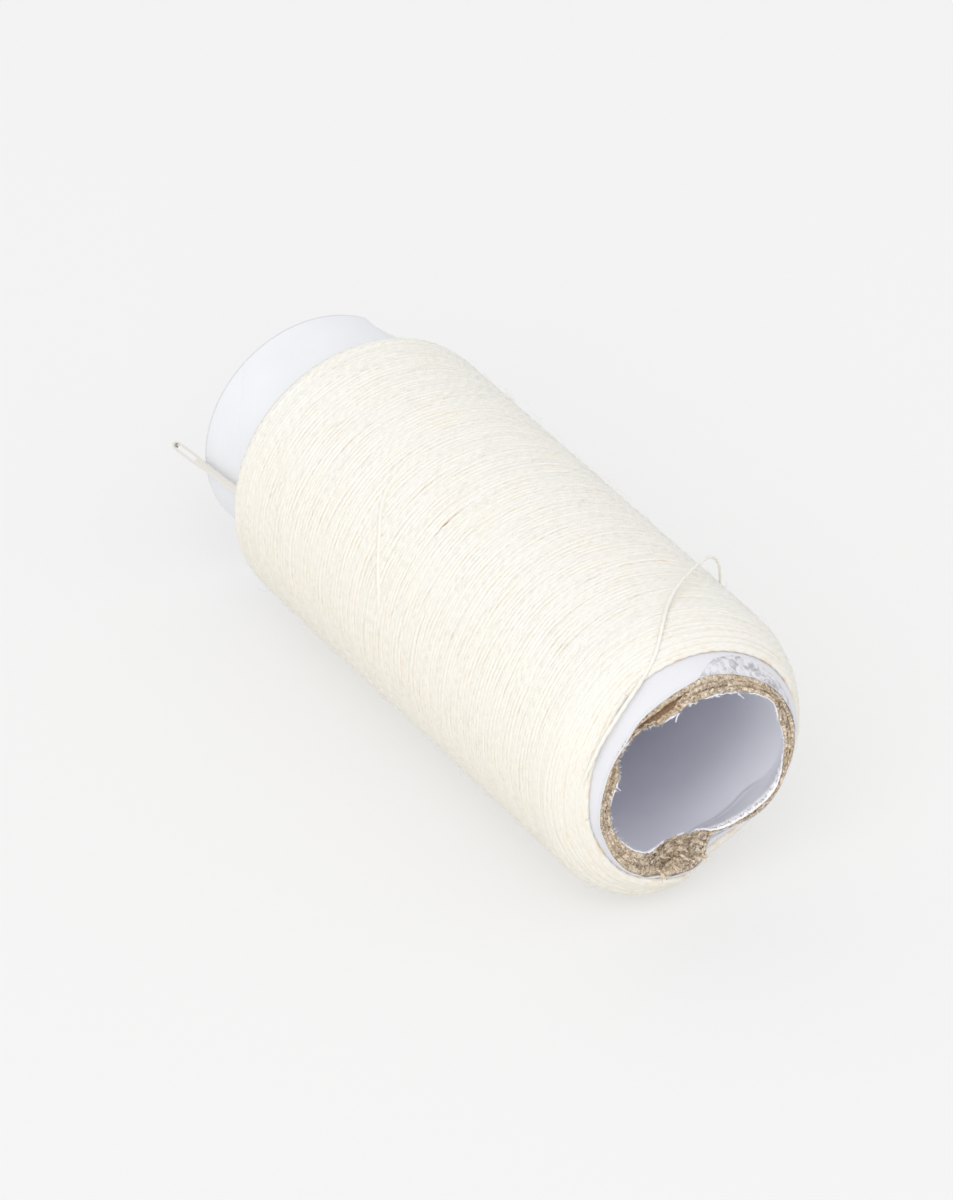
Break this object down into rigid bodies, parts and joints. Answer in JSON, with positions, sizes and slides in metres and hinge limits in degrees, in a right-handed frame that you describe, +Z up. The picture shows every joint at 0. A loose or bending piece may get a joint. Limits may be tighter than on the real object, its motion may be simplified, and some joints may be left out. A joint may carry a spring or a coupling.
{
  "type": "spool of sewing thread",
  "caption": "Paperboard tube lying on its side, wound with sewing thread, one end worn and pressed in, a loose strand at that end and a hand needle stored under the thread.",
  "frame": {"origin": "on the resting surface, under the middle of the tube", "axes": "+Z up, +Y along the tube from its worn end to its other end, +X to the right when looking along +Y"},
  "size_m": [0.022, 0.06, 0.0226],
  "materials": {
    "liner_paper": "matt white lining paper",
    "kraft_board": "raw grey-brown board, torn at the rim",
    "wrap_paper": "smooth white wrapping paper",
    "thread": "twisted cream thread with a slight sheen",
    "needle_steel": "polished nickel-plated steel"
  },
  "bodies": {
    "spool": {"inner_liner": "liner_paper", "inner_ply": "kraft_board", "middle_ply": "kraft_board", "outer_ply": "kraft_board", "outer_wrap": "wrap_paper", "wound_thread": "thread", "loose_strand": "thread"},
    "needle": {"needle": "needle_steel"}
  },
  "joints": [
    {"name": "needle_pull", "type": "slide", "parent": "spool", "child": "needle", "axis": [0, 0.9949, -0.1011], "range_m": [0, 0.03]}
  ]
}
